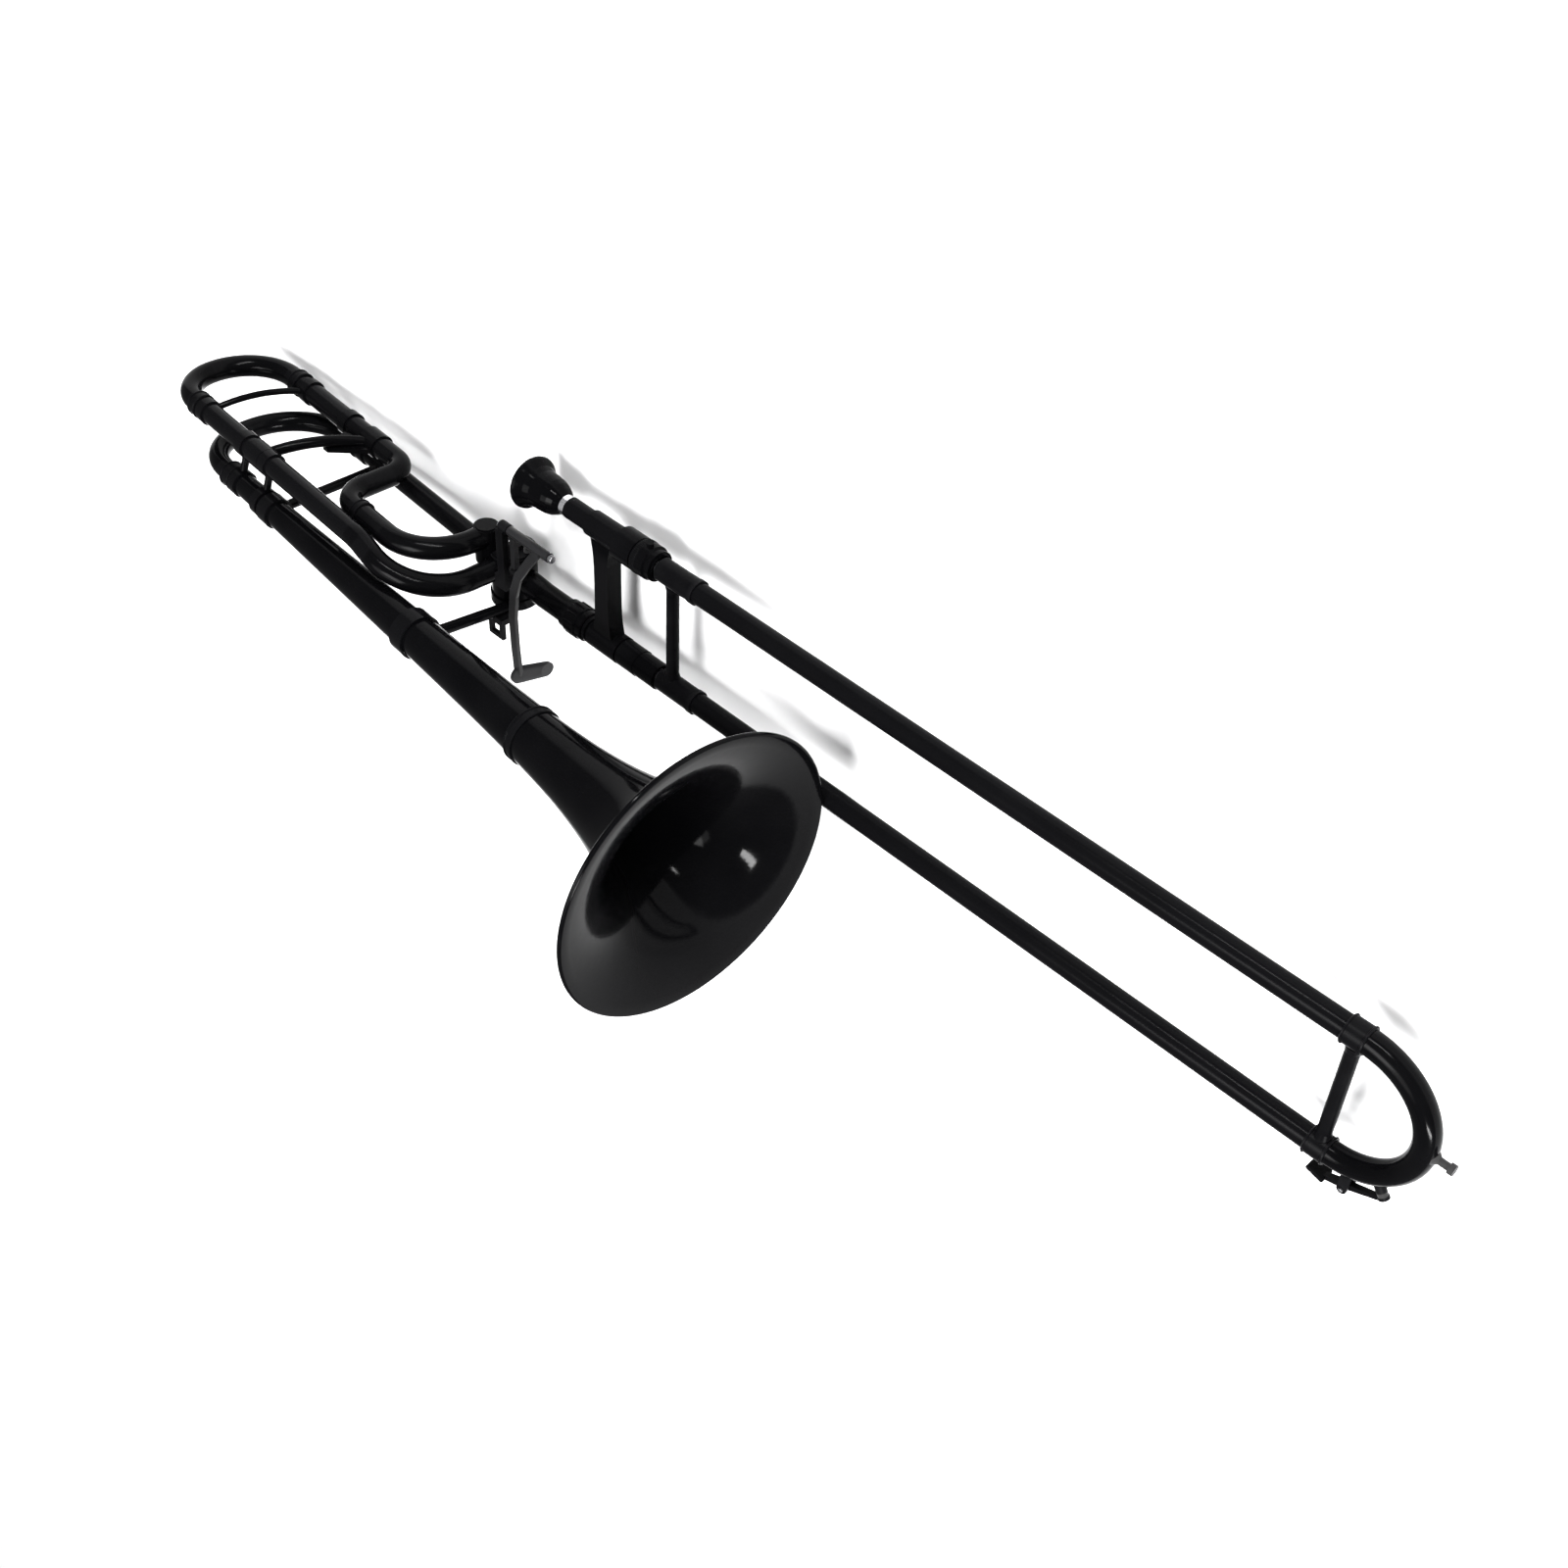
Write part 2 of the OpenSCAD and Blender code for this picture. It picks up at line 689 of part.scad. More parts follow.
module lock_nut() {
    len = nut_front - nut_back;
    color(black) placed() translate([nut_back + 0.4, 0, 0]) along_x() difference() {
        rotate_extrude() polygon([
            [thread_r + 0.32, 0], [11.6, 0], [12.6, 1], [12.6, 12], [11.6, 13],
            [11.6, len - 1.5], [10.8, len - 0.8], [thread_r + 0.32, len - 0.8]
        ]);
        for (turn = [0:30:330])
            rotate([0, 0, turn]) translate([13.4, 0, -1]) cylinder(h = 12, r = 1.9, $fn = 24);
    }
}

// ---------- inner slide ----------

inner_front = 515;
stocking_len = 90;
barrel_back = -50;
barrel_front = -12;
module inner_tube(from) {
    placed() translate([from, 0, 0]) {
        tube(inner_front - stocking_len - from, inner_r, inner_bore);
        translate([inner_front - stocking_len - from, 0, 0])
            tube(stocking_len, stocking_r, inner_bore);
    }
}

lead_back = -105;
lead_seat = -78;
module inner_tube_upper() {
    color(silver) upper_side() inner_tube(lead_seat);
}

module inner_tube_lower() {
    color(silver) inner_tube(nut_back + 3);
}

module lower_sleeve() {
    color(black) placed() translate([nut_front + 0.2, 0, 0]) {
        tube(barrel_back - nut_front - 0.2, 9, inner_r + 0.01);
        tube(3, 10.2, inner_r + 0.01);
    }
}

mouth_bore = 6.45;
module lead_receiver() {
    color(black) placed() upper_side() translate([lead_back, 0, 0]) {
        tube(lead_seat - lead_back, 8, mouth_bore);
        translate([lead_seat - lead_back, 0, 0])
            tube(barrel_back - lead_seat, 8, inner_r + 0.01);
    }
}

module receiver_ring() {
    color(silver) placed() upper_side() translate([lead_back - 5, 0, 0])
        tube(5, 7.6, mouth_bore);
}

grip_x = -67.5;
module grip_brace() {
    foot = 9.02;
    color(black) placed() difference() {
        union() {
            // Waisted grip with a foot on each tube
            translate([grip_x, 0, 0]) rotate([-90, 0, 0]) intersection() {
                linear_extrude(slide_gap) offset(4.5) square([17, 4], center = true);
                translate([0, 30, 0]) rotate([90, 0, 0]) linear_extrude(60) polygon(concat(
                    [for (i = [0:12]) [7 + 6 * pow(abs(i / 6 - 1), 4), slide_gap * i / 12]],
                    [for (i = [12:-1:0]) [-7 - 6 * pow(abs(i / 6 - 1), 4), slide_gap * i / 12]]
                ));
            }
            translate([grip_x - 14, 0, 0]) tube(30, 10.6, 8);
            upper_side() translate([grip_x - 14, 0, 0]) tube(30, 9.6, 7);
        }
        translate([grip_x - 40, 0, 0]) along_x() cylinder(h = 80, r = foot);
        upper_side() translate([grip_x - 40, 0, 0]) along_x() cylinder(h = 80, r = 8.01);
    }
}

barrel_r = 10.3;
lock_r = 12.6;
core_r = 8.7;
module barrel(r) {
    tube(18, r, inner_r + 0.01);
    translate([18, 0, 0]) tube(barrel_front - barrel_back - 18, core_r, 8.05);
}

module upper_barrel() {
    color(black) placed() upper_side() translate([barrel_back, 0, 0]) barrel(lock_r);
}

module lower_barrel() {
    color(black) placed() translate([barrel_back, 0, 0]) {
        barrel(barrel_r);
        translate([18, 0, 0]) tube(barrel_front - barrel_back - 18, barrel_r - 0.5, core_r);
    }
}

module slide_lock_ring() {
    color(black) placed() upper_side() translate([barrel_back + 18.4, 0, 0]) along_x()
        difference() {
            union() {
                rotate_extrude() polygon([
                    [core_r + 0.32, 0], [lock_r - 0.5, 0], [lock_r, 0.6], [lock_r, 13],
                    [lock_r - 1.4, 14], [lock_r - 1.4, 18.4], [core_r + 0.32, 18.4]
                ]);
                translate([0, 0, 9]) rotate([-90, 0, 0]) cylinder(h = 15, r = 2.6);
            }
            translate([0, 0, -1]) cylinder(h = 30, r = core_r + 0.32);
        }
}

// ---------- mouthpiece ----------

mouth_r = mouth_d / 2;
mouth_back = -149;
module mouthpiece() {
    color(black) placed() upper_side() translate([mouth_back, 0, 0]) along_x()
        rotate_extrude() polygon([
            [mouth_r - 6.6, 1], [mouth_r - 4.6, 0], [mouth_r - 2, 0], [mouth_r - 0.5, 1],
            [mouth_r, 2.8], [mouth_r - 0.5, 4.6], [mouth_r - 1.8, 6.4], [15.8, 9.4],
            [14.4, 14], [14, 20], [13.4, 26], [12.2, 30.4], [10.2, 34.5], [8.2, 37.4],
            [7.2, 38.6], [6.3, 38.8], [6.1, 40], [5.6, 64], [4.6, 64], [3.6, 36],
            [3.4, 31], [5.4, 27], [9, 20], [11.6, 11], [12.8, 5]
        ]);
}

// ---------- outer slide ----------

sleeve_r = 8.6;
module outer_sleeve() {
    placed() translate([sleeve_back, 0, 0]) {
        tube(sleeve_end - sleeve_back, sleeve_r, outer_r + 0.01);
        translate([sleeve_end - sleeve_back - 4, 0, 0]) tube(4, sleeve_r + 0.5, outer_r + 0.01);
    }
}

module outer_sleeve_upper() {
    color(black) upper_side() outer_sleeve();
}

module outer_sleeve_lower() {
    color(black) outer_sleeve();
}

module cross_rod(x, r, seat) {
    placed() difference() {
        union() {
            translate([x, 0, 0]) rotate([-90, 0, 0]) cylinder(h = slide_gap, r = r);
            for (side = [0, 1])
                translate([x, side * slide_gap, 0]) rotate([side ? 90 : -90, 0, 0])
                    cylinder(h = seat + 3.5, r1 = r + 2.6, r2 = r);
        }
        translate([x - 20, 0, 0]) along_x() cylinder(h = 40, r = seat);
        upper_side() translate([x - 20, 0, 0]) along_x() cylinder(h = 40, r = seat);
    }
}

module hand_brace() {
    color(black) cross_rod(0, 4.6, sleeve_r + 0.01);
}

tube_back = sleeve_back + 1;
module outer_tube() {
    placed() translate([tube_back, 0, 0]) tube(slide_len - tube_back, outer_r, outer_bore);
}

module outer_tube_upper() {
    color(black) upper_side() outer_tube();
}

module outer_tube_lower() {
    color(black) outer_tube();
}

ferrule_len = 14;
ferrule_r = 8.9;
module bow_ferrules() {
    color(dark) placed() for (y = [0, slide_gap])
        translate([slide_len - ferrule_len, y, 0]) ferrule(ferrule_len, ferrule_r, outer_r + 0.01);
}

module bow_brace() {
    color(black) cross_rod(slide_len - 7, 4.6, ferrule_r + 0.72);
}

module bow_ring(ro) {
    translate([slide_len, bow_r, 0]) rotate([0, 0, -90])
        rotate_extrude(angle = 180) translate([bow_r, 0]) circle(ro);
}

module slide_bow() {
    color(black) placed() translate([slide_len, bow_r, 0]) rotate([0, 0, -90])
        rotate_extrude(angle = 180) translate([bow_r, 0]) difference() {
            circle(bow_tube_r);
            circle(outer_bore);
        }
}

module bumper_knob() {
    color(rubber) placed() difference() {
        translate([bow_front - 1.5, bow_r, 0]) along_x() {
            cylinder(h = knob_len + 1.5, r = 2.4);
            cylinder(h = 3, r1 = 5, r2 = 2.4);
            translate([0, 0, knob_len - 2]) cylinder(h = 3.5, r = 3.5);
        }
        bow_ring(bow_tube_r + 0.01);
    }
}

// ---------- water key ----------

key_x = 566;
key_y = -15.5;
key_pin_r = 1.25;
ear_t = 2;
key_gap = 6.6;
nozzle_turn = 35;
nozzle_top = bow_tube_r + 5;
cork_len = 3;
// X points straight out of the bow where the spit hole is
module at_nozzle() {
    placed() translate([slide_len, bow_r, 0]) rotate([0, 0, nozzle_turn - 90])
        translate([bow_r, 0, 0]) children();
}

module water_key_posts() {
    color(dark) difference() {
        union() {
            placed() for (side = [-1, 1])
                translate([key_x, key_y, side * (key_gap + ear_t) / 2 - ear_t / 2]) {
                    cylinder(h = ear_t, r = 3.2);
                    translate([-3.2, 0, 0]) cube([6.4, -key_y, ear_t]);
                }
            at_nozzle() tube(nozzle_top, 3.4, 2);
        }
        placed() bow_ring(bow_tube_r + 0.01);
        placed() translate([key_x, key_y, -10]) cylinder(h = 20, r = key_pin_r + 0.01);
    }
}

module water_key_pin() {
    color(dark) placed() translate([key_x, key_y, -key_gap / 2 - ear_t - 1])
        cylinder(h = key_gap + 2 * ear_t + 2, r = key_pin_r);
}

// Flat bar of the key between two points, thicker at the first
module key_bar(a, b, ra, rb, wa, wb) {
    hull() {
        translate(a) cylinder(h = wa, r = ra, center = true, $fn = 32);
        translate(b) cylinder(h = wb, r = rb, center = true, $fn = 32);
    }
}

cup_at = bow_r + nozzle_top + cork_len + 2.2;
cup_x = slide_len + cup_at * sin(nozzle_turn);
cup_y = bow_r - cup_at * cos(nozzle_turn);
module water_key() {
    pivot = [key_x, key_y, 0];
    knee = [key_x - 13, key_y - 4.5, 0];
    tip = [key_x - 23, key_y - 4, 0];
    color(dark) difference() {
        union() {
            placed() {
                translate([key_x, key_y, 0]) cylinder(h = key_gap - 0.8, r = 3, center = true);
                key_bar(pivot, knee, 2.4, 1.6, 4, 4);
                key_bar(knee, tip, 1.6, 1.4, 10, 7);
                key_bar(pivot, [cup_x, cup_y, 0], 2.2, 0.9, 4, 4);
            }
            at_nozzle() translate([nozzle_top + cork_len + 0.1, 0, 0]) tube(1.8, 3.6, 0.5);
        }
        placed() translate([key_x, key_y, -10]) cylinder(h = 20, r = key_pin_r + 0.06);
    }
}

module water_key_cork() {
    color(rubber) at_nozzle() translate([nozzle_top + 0.1, 0, 0]) along_x()
        cylinder(h = cork_len, r = 3.2);
}

bell_flare();
bell_stem();
throat_ring();
stem_joint_ring();
neck_leg();
neck_leg_ring();
valve_casing();
valve_cap_lower();
valve_plate();
stop_bumpers();
rotor();
stop_arm();
neck_receiver();
lever_saddle();
lever_pin();
thumb_lever();
lever_link();
f_near_leg();
f_far_leg();
f_joint_rings();
f_arch_brace();
f_gusset_brace();
bell_brace_rear();
bell_brace_front();
leg_posts();
hand_bracket();
main_slide_bow();
main_slide_legs();
f_slide_bow();
f_slide_legs();
lock_nut();
lower_sleeve();
lead_receiver();
receiver_ring();
grip_brace();
upper_barrel();
lower_barrel();
inner_tube_upper();
inner_tube_lower();
slide_lock_ring();
mouthpiece();
outer_sleeve_upper();
outer_sleeve_lower();
hand_brace();
outer_tube_upper();
outer_tube_lower();
bow_ferrules();
bow_brace();
slide_bow();
bumper_knob();
water_key_posts();
water_key_pin();
water_key();
water_key_cork();
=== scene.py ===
import math

import bmesh
import bpy
from mathutils import Matrix, Vector


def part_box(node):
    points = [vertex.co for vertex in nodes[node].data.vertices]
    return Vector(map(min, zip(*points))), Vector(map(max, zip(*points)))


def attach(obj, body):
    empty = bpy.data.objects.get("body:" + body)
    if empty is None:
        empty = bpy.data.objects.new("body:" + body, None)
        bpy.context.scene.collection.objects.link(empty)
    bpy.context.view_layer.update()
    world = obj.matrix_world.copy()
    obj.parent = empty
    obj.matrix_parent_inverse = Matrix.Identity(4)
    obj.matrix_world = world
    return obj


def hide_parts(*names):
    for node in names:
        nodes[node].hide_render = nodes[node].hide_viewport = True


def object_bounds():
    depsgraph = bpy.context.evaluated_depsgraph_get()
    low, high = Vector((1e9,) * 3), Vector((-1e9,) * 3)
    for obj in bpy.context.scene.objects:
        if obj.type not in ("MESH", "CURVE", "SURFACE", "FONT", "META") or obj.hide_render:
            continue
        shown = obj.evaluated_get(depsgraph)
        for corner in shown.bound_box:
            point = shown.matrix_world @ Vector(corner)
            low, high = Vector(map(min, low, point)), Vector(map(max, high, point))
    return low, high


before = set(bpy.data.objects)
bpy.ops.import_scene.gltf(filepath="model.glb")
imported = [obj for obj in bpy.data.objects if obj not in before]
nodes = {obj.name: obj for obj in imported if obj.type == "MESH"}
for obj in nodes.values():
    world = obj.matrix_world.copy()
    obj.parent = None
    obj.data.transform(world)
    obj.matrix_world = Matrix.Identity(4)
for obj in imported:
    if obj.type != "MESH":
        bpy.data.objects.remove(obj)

cad_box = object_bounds()
MM = 0.001
X_AXIS = (1, 0, 0)
Y_AXIS = (0, 1, 0)
Z_AXIS = (0, 0, 1)


# ---------- camera ----------

CAMERA_PLACE = (0.760124, 0.918848, 0.767476)
CAMERA_RIGHT = (0.702872, 0.039592, -0.710214)
CAMERA_FORWARD = (-0.502736, -0.678698, -0.535374)
LENS = 46.758
SENSOR_WIDTH = 36.0
CLIP_NEAR = 0.05
CLIP_FAR = 60.0


def make_camera():
    """Looks down on the bell and the slide bow from the front left, rolled."""
    data = bpy.data.cameras.new("camera")
    data.lens = LENS
    data.sensor_width = SENSOR_WIDTH
    data.clip_start = CLIP_NEAR
    data.clip_end = CLIP_FAR
    cam = bpy.data.objects.new("camera", data)
    right = Vector(CAMERA_RIGHT).normalized()
    forward = Vector(CAMERA_FORWARD).normalized()
    up = right.cross(forward)
    turn = Matrix((right, up, -forward)).transposed().to_4x4()
    cam.matrix_world = Matrix.Translation(CAMERA_PLACE) @ turn
    bpy.context.scene.collection.objects.link(cam)
    bpy.context.scene.camera = cam


make_camera()


# ---------- materials ----------

# The colour sockets of a Mix node, which share their names with its other sockets
MIX_A = 6
MIX_B = 7
MIX_RESULT = 2

# Linear base colours. The plastic is nearly black, so its look comes from reflections
GLOSS_DARK = (0.0008, 0.0008, 0.001)
GLOSS_LIGHT = (0.0022, 0.0022, 0.0025)
GLOSS_EDGE = (0.0032, 0.0032, 0.0036)
SATIN_DARK = (0.0012, 0.0012, 0.0015)
SATIN_LIGHT = (0.0034, 0.0034, 0.0038)
SATIN_EDGE = (0.0055, 0.0055, 0.006)
RUBBER_DARK = (0.006, 0.006, 0.0065)
RUBBER_LIGHT = (0.013, 0.0125, 0.0125)
PAPER_DARK = (0.91, 0.91, 0.915)
PAPER_LIGHT = (0.94, 0.94, 0.945)
METAL_EDGE_GAIN = 1.35


class Shader:
    """A Principled material and short helpers for its nodes."""

    def __init__(self, name, rough, metallic=0.0, specular=0.5):
        self.mat = bpy.data.materials.new(name)
        self.mat.use_nodes = True
        self.tree = self.mat.node_tree
        self.bsdf = self.tree.nodes["Principled BSDF"]
        self.bsdf.inputs["Metallic"].default_value = metallic
        self.bsdf.inputs["Specular IOR Level"].default_value = specular
        self.bsdf.inputs["Roughness"].default_value = rough
        self.coord = self.node("ShaderNodeTexCoord").outputs["Object"]

    def node(self, kind, **settings):
        made = self.tree.nodes.new(kind)
        for key, value in settings.items():
            setattr(made, key, value)
        return made

    def link(self, out, socket):
        self.tree.links.new(out, socket)

    def noise(self, scale, detail=3.0, stretch=(1, 1, 1)):
        """Noise over the object, in metres; stretch squeezes it along each axis."""
        mapping = self.node("ShaderNodeMapping")
        mapping.inputs["Scale"].default_value = stretch
        self.link(self.coord, mapping.inputs["Vector"])
        made = self.node("ShaderNodeTexNoise")
        made.inputs["Scale"].default_value = scale
        made.inputs["Detail"].default_value = detail
        self.link(mapping.outputs["Vector"], made.inputs["Vector"])
        return made.outputs["Fac"]

    def remap(self, out, low, high, to_low, to_high):
        made = self.node("ShaderNodeMapRange")
        made.inputs["From Min"].default_value = low
        made.inputs["From Max"].default_value = high
        made.inputs["To Min"].default_value = to_low
        made.inputs["To Max"].default_value = to_high
        self.link(out, made.inputs["Value"])
        return made.outputs["Result"]

    def add(self, a, b):
        made = self.node("ShaderNodeMath", operation="ADD", use_clamp=True)
        self.link(a, made.inputs[0])
        self.link(b, made.inputs[1])
        return made.outputs["Value"]

    def colour(self, fac, dark, light):
        ramp = self.node("ShaderNodeValToRGB")
        ramp.color_ramp.elements[0].color = (*dark, 1)
        ramp.color_ramp.elements[1].color = (*light, 1)
        self.link(fac, ramp.inputs["Fac"])
        return ramp.outputs["Color"]

    def mix(self, fac, base, over):
        """The base colour's output, with the fixed colour laid over it where fac is 1."""
        made = self.node("ShaderNodeMix", data_type="RGBA")
        self.link(fac, made.inputs["Factor"])
        self.link(base, made.inputs[MIX_A])
        made.inputs[MIX_B].default_value = (*over, 1)
        return made.outputs[MIX_RESULT]

    def bump(self, height, strength, distance, under=None):
        made = self.node("ShaderNodeBump")
        made.inputs["Strength"].default_value = strength
        made.inputs["Distance"].default_value = distance
        self.link(height, made.inputs["Height"])
        if under is not None:
            self.link(under, made.inputs["Normal"])
        return made.outputs["Normal"]

    def edges(self, low, high):
        """1 on worn outside edges, 0 elsewhere."""
        point = self.node("ShaderNodeNewGeometry").outputs["Pointiness"]
        return self.remap(point, low, high, 0.0, 1.0)

    def finish(self, colour, rough, normal):
        self.link(colour, self.bsdf.inputs["Base Color"])
        self.link(rough, self.bsdf.inputs["Roughness"])
        self.link(normal, self.bsdf.inputs["Normal"])
        return self.mat


def gloss_black(name, rough, specular, ripple=0.06):
    """Moulded black plastic: faint flow ripple, handling haze, hairlines along the tubes."""
    s = Shader(name, rough, specular=specular)
    haze = s.noise(28, 4)
    hairline = s.noise(90, 2, (1, 22, 22))
    grain = s.noise(1500, 2)
    tint = s.colour(haze, GLOSS_DARK, GLOSS_LIGHT)
    colour = s.mix(s.edges(0.56, 0.7), tint, GLOSS_EDGE)
    patch = s.remap(haze, 0.35, 0.75, rough, rough + 0.09)
    line = s.remap(hairline, 0.62, 0.74, 0.0, 0.07)
    wave = s.bump(s.noise(170, 2), ripple, 0.0006)
    return s.finish(colour, s.add(patch, line), s.bump(grain, 0.04, 0.0001, wave))


def satin_black(name, rough):
    """Fine-textured black on rings, braces and keys."""
    s = Shader(name, rough, specular=0.025)
    cloud = s.noise(60, 4)
    grain = s.noise(2600, 3)
    tint = s.colour(cloud, SATIN_DARK, SATIN_LIGHT)
    colour = s.mix(s.edges(0.55, 0.68), tint, SATIN_EDGE)
    return s.finish(colour, s.remap(cloud, 0.3, 0.7, rough, rough + 0.12),
                    s.bump(grain, 0.18, 0.00012))


def rubber(name):
    """Matt, finely pored black on the bumpers, the knob's tip and the cork."""
    s = Shader(name, 0.75, specular=0.25)
    s.bsdf.inputs["Sheen Weight"].default_value = 0.12
    s.bsdf.inputs["Sheen Roughness"].default_value = 0.5
    cloud = s.noise(140, 5)
    pores = s.noise(3200, 3)
    tint = s.colour(cloud, RUBBER_DARK, RUBBER_LIGHT)
    return s.finish(tint, s.remap(cloud, 0.3, 0.7, 0.66, 0.86), s.bump(pores, 0.4, 0.00015))


def brushed(name, dark, light, rough, metallic, stretch, depth=0.1, specular=0.5):
    """A surface with fine parallel scratches across the squeezed axes."""
    s = Shader(name, rough, metallic=metallic, specular=specular)
    scratch = s.noise(120, 3, stretch)
    cloud = s.noise(45, 3)
    tint = s.colour(cloud, dark, light)
    edge_tint = tuple(min(1.0, c * METAL_EDGE_GAIN) for c in light)
    colour = s.mix(s.edges(0.56, 0.72), tint, edge_tint)
    level = s.add(s.remap(cloud, 0.3, 0.7, rough, rough + 0.08),
                  s.remap(scratch, 0.55, 0.75, 0.0, 0.12))
    return s.finish(colour, level, s.bump(scratch, depth, 0.00008))


bell_black = gloss_black("bell black", rough=0.07, specular=0.026)
tube_black = gloss_black("tube black", rough=0.11, specular=0.03)
slide_black = gloss_black("slide black", rough=0.15, specular=0.02, ripple=0.03)
trim_black = satin_black("trim black", rough=0.36)
ring_black = satin_black("ring black", rough=0.27)
soft_black = rubber("rubber black")
lever_grey = brushed("lever grey", dark=(0.005, 0.005, 0.0053), light=(0.010, 0.010, 0.0106),
                     rough=0.32, metallic=0.0, stretch=(14, 2, 14), depth=0.15, specular=0.14)
steel = brushed("pin steel", dark=(0.20, 0.20, 0.21), light=(0.36, 0.36, 0.37),
                rough=0.26, metallic=1.0, stretch=(3, 30, 3))
turned = brushed("turned metal", dark=(0.45, 0.45, 0.46), light=(0.62, 0.62, 0.63),
                 rough=0.24, metallic=1.0, stretch=(30, 30, 3))
plated = brushed("slide metal", dark=(0.42, 0.42, 0.44), light=(0.66, 0.66, 0.68),
                 rough=0.16, metallic=1.0, stretch=(1, 20, 20))

FINISHES = {
    "bell_flare": bell_black, "bell_stem": bell_black, "mouthpiece": bell_black,
    "bell_brace_front": bell_black,
    "neck_leg": tube_black, "f_near_leg": tube_black, "f_far_leg": tube_black,
    "main_slide_bow": tube_black, "f_slide_bow": tube_black, "slide_bow": tube_black,
    "valve_casing": tube_black, "neck_receiver": tube_black, "lock_nut": tube_black,
    "f_arch_brace": tube_black, "f_gusset_brace": tube_black, "bell_brace_rear": tube_black,
    "leg_posts": tube_black,
    "outer_tube_upper": slide_black, "outer_tube_lower": slide_black,
    "lower_sleeve": slide_black, "lead_receiver": slide_black, "upper_barrel": slide_black,
    "lower_barrel": slide_black, "slide_lock_ring": slide_black, "grip_brace": slide_black,
    "throat_ring": ring_black, "stem_joint_ring": ring_black, "neck_leg_ring": ring_black,
    "f_joint_rings": ring_black, "outer_sleeve_upper": ring_black,
    "outer_sleeve_lower": ring_black, "bow_ferrules": ring_black, "hand_brace": ring_black,
    "bow_brace": ring_black, "valve_cap_lower": ring_black, "valve_plate": ring_black,
    "lever_saddle": trim_black, "hand_bracket": trim_black, "stop_arm": trim_black,
    "lever_link": trim_black, "water_key_posts": trim_black, "water_key": trim_black,
    "stop_bumpers": soft_black, "bumper_knob": soft_black, "water_key_cork": soft_black,
    "thumb_lever": lever_grey,
    "lever_pin": steel, "water_key_pin": steel,
    "rotor": turned,
    "receiver_ring": plated, "inner_tube_upper": plated, "inner_tube_lower": plated,
    "main_slide_legs": plated, "f_slide_legs": plated,
}

for name, node in nodes.items():
    for slot in node.material_slots:
        slot.material = FINISHES[name]


# ---------- helpers for the added pieces ----------

def centre(node):
    low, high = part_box(node)
    return (Vector(low) + Vector(high)) / 2


def axis_turn(axis):
    """The turn that lays the Z axis along the given one."""
    return Vector(Z_AXIS).rotation_difference(Vector(axis)).to_matrix().to_4x4()


def facing(point, axis):
    """A place at the point whose own Z runs along the axis."""
    return Matrix.Translation(point) @ axis_turn(axis)


def mesh_of(bm, name):
    bmesh.ops.recalc_face_normals(bm, faces=bm.faces)
    mesh = bpy.data.meshes.new(name)
    bm.to_mesh(mesh)
    bm.free()
    return mesh


def add_piece(name, bm, body, material):
    """Makes the mesh a smooth-shaded piece that rides on the body."""
    mesh = mesh_of(bm, name)
    for face in mesh.polygons:
        face.use_smooth = True
    made = bpy.data.objects.new(name, mesh)
    bpy.context.scene.collection.objects.link(made)
    made.data.materials.append(material)
    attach(made, body)
    return made


def soften(made, angle):
    """Keeps edges sharper than the angle, in degrees, crisp."""
    mod = made.modifiers.new("edges", "EDGE_SPLIT")
    mod.split_angle = math.radians(angle)


def band(bm, one, two):
    """Joins two closed loops of vertices with a ring of faces."""
    for j in range(len(one)):
        k = (j + 1) % len(one)
        bm.faces.new((one[j], one[k], two[k], two[j]))


# ---------- bell ----------

LEAN = math.radians(3.5)
BEAD = 1.9 * MM
WALL = 1.7 * MM
HORN = 17 * MM
HORN_POWER = 0.7
BELLY_FROM = 125 * MM
BELLY_SPAN = 430 * MM
BELLY_RISE = 2 * MM
THROAT = 176 * MM
STEM_BORE = 7.35 * MM
FLARE_STEPS = 70
FIRST_FLARE_STEP = 8
STEM_STEPS = 60
BEAD_STEP = 10
ROUND_STEPS = 192
SLOPE_STEP = 0.5 * MM


def bell_frame():
    """The centre of the bell's rim and its radius, found from the flare's box."""
    low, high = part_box("bell_flare")
    radius = (high[1] - low[1]) / 2
    sin = math.sin(LEAN)
    cos = math.cos(LEAN)
    rim = Vector((high[0] + BEAD * (cos - 1) - (radius - BEAD) * sin,
                  (low[1] + high[1]) / 2,
                  (low[2] + high[2]) / 2 + BEAD * sin))
    return rim, radius


rim_centre, bell_radius = bell_frame()


def horn(back):
    """Outside radius of the bell at a distance back from the rim."""
    belly = 0.0
    if back > BELLY_FROM:
        belly = BELLY_RISE * math.sin(math.pi * (back - BELLY_FROM) / BELLY_SPAN)
    return bell_radius * (HORN / (back + HORN)) ** HORN_POWER + belly


def horn_turn(back):
    """The angle between the bell's wall and its axis."""
    return math.atan((horn(back) - horn(back + SLOPE_STEP)) / SLOPE_STEP)


def lathe(bm, profile, place, steps):
    """Turns a closed profile of (radius, height) round the Z axis of place."""
    rings = []
    for i in range(steps):
        a = 2 * math.pi * i / steps
        rings.append([bm.verts.new(place @ Vector((r * math.cos(a), r * math.sin(a), h)))
                      for r, h in profile])
    for i in range(steps):
        band(bm, rings[i], rings[(i + 1) % steps])


